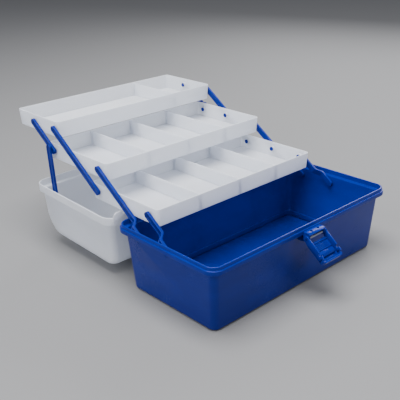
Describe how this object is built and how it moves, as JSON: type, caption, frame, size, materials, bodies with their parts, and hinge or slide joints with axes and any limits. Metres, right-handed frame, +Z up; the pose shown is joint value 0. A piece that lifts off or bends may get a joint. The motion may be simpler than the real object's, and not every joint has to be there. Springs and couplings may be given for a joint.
{
  "type": "cantilever sewing box",
  "caption": "Blue sewing box standing open: deep tub, translucent lid hinged behind it, and compartment trays stepping back on parallel arms.",
  "frame": {"origin": "middle of the underside of the tub", "axes": "+X along the box, +Y from the latch side to the hinge side, +Z up"},
  "size_m": [0.344, 0.4836, 0.1896],
  "materials": {
    "blue_plastic": "glossy royal blue polypropylene",
    "frosted_plastic": "milky translucent polypropylene",
    "steel": "plain drawn wire"
  },
  "bodies": {
    "base": {"base_tub": "blue_plastic", "hinge_pins": "steel", "latch_pin": "steel"},
    "front_arms": {"front_arm_left": "blue_plastic", "front_arm_right": "blue_plastic"},
    "back_arms": {"back_arm_left": "blue_plastic", "back_arm_right": "blue_plastic"},
    "bottom_tray": {"bottom_tray": "frosted_plastic", "bottom_divider_1": "frosted_plastic", "bottom_divider_2": "frosted_plastic", "bottom_divider_3": "frosted_plastic"},
    "upper_arms": {"upper_arm_left": "blue_plastic", "upper_arm_right": "blue_plastic"},
    "middle_tray": {"middle_tray": "frosted_plastic", "middle_divider_1": "frosted_plastic", "middle_divider_2": "frosted_plastic", "middle_divider_3": "frosted_plastic"},
    "top_arms": {"top_arm_left": "blue_plastic", "top_arm_right": "blue_plastic"},
    "top_tray": {"top_tray": "frosted_plastic", "top_divider_1": "frosted_plastic"},
    "lid": {"lid_shell": "frosted_plastic", "lid_catch": "frosted_plastic", "handle_brackets": "blue_plastic"},
    "lid_links": {"lid_link_left": "blue_plastic", "lid_link_right": "blue_plastic"},
    "latch": {"latch_flap": "blue_plastic"},
    "handle": {"handle": "blue_plastic"}
  },
  "joints": [
    {"name": "tray_fold", "type": "hinge", "parent": "base", "child": "back_arms", "pos_m": [0, 0.0535, 0.077], "axis": [1, 0, 0], "range_deg": [0, 119]},
    {"name": "front_arm_pivot", "type": "hinge", "parent": "base", "child": "front_arms", "pos_m": [0, 0, 0.077], "axis": [1, 0, 0], "range_deg": [0, 119]},
    {"name": "bottom_tray_pivot", "type": "hinge", "parent": "back_arms", "child": "bottom_tray", "pos_m": [0, 0.10224, 0.11113], "axis": [1, 0, 0], "range_deg": [-119, 0]},
    {"name": "upper_arm_pivot", "type": "hinge", "parent": "bottom_tray", "child": "upper_arms", "pos_m": [0, 0.15574, 0.11113], "axis": [1, 0, 0], "range_deg": [0, 119]},
    {"name": "middle_tray_pivot", "type": "hinge", "parent": "back_arms", "child": "middle_tray", "pos_m": [0, 0.15098, 0.14526], "axis": [1, 0, 0], "range_deg": [-119, 0]},
    {"name": "top_arm_pivot", "type": "hinge", "parent": "middle_tray", "child": "top_arms", "pos_m": [0, 0.25798, 0.14526], "axis": [1, 0, 0], "range_deg": [0, 119]},
    {"name": "top_tray_pivot", "type": "hinge", "parent": "upper_arms", "child": "top_tray", "pos_m": [0, 0.25322, 0.17938], "axis": [1, 0, 0], "range_deg": [-119, 0]},
    {"name": "lid_hinge", "type": "hinge", "parent": "base", "child": "lid", "pos_m": [0, 0.0975, 0.0911], "axis": [1, 0, 0], "range_deg": [0, 95.2]},
    {"name": "lid_link_pivot", "type": "hinge", "parent": "lid", "child": "lid_links", "pos_m": [0, 0.25667, 0.0294], "axis": [1, 0, 0], "range_deg": [0, 49.86]},
    {"name": "latch_hinge", "type": "hinge", "parent": "base", "child": "latch", "pos_m": [0, -0.098, 0.0805], "axis": [1, 0, 0], "range_deg": [-128, 0]},
    {"name": "handle_pivot", "type": "hinge", "parent": "lid", "child": "handle", "pos_m": [0, 0.19725, 0.00643], "axis": [1, 0, 0], "range_deg": [-90, 0]}
  ],
  "couplings": [
    {"joint": "front_arm_pivot", "follows": "tray_fold", "ratio": 1},
    {"joint": "bottom_tray_pivot", "follows": "tray_fold", "ratio": -1},
    {"joint": "upper_arm_pivot", "follows": "tray_fold", "ratio": 1},
    {"joint": "middle_tray_pivot", "follows": "tray_fold", "ratio": -1},
    {"joint": "top_arm_pivot", "follows": "tray_fold", "ratio": 1},
    {"joint": "top_tray_pivot", "follows": "tray_fold", "ratio": -1},
    {"joint": "lid_hinge", "follows": "tray_fold", "ratio": 0.8},
    {"joint": "lid_link_pivot", "follows": "tray_fold", "ratio": 0.419}
  ]
}
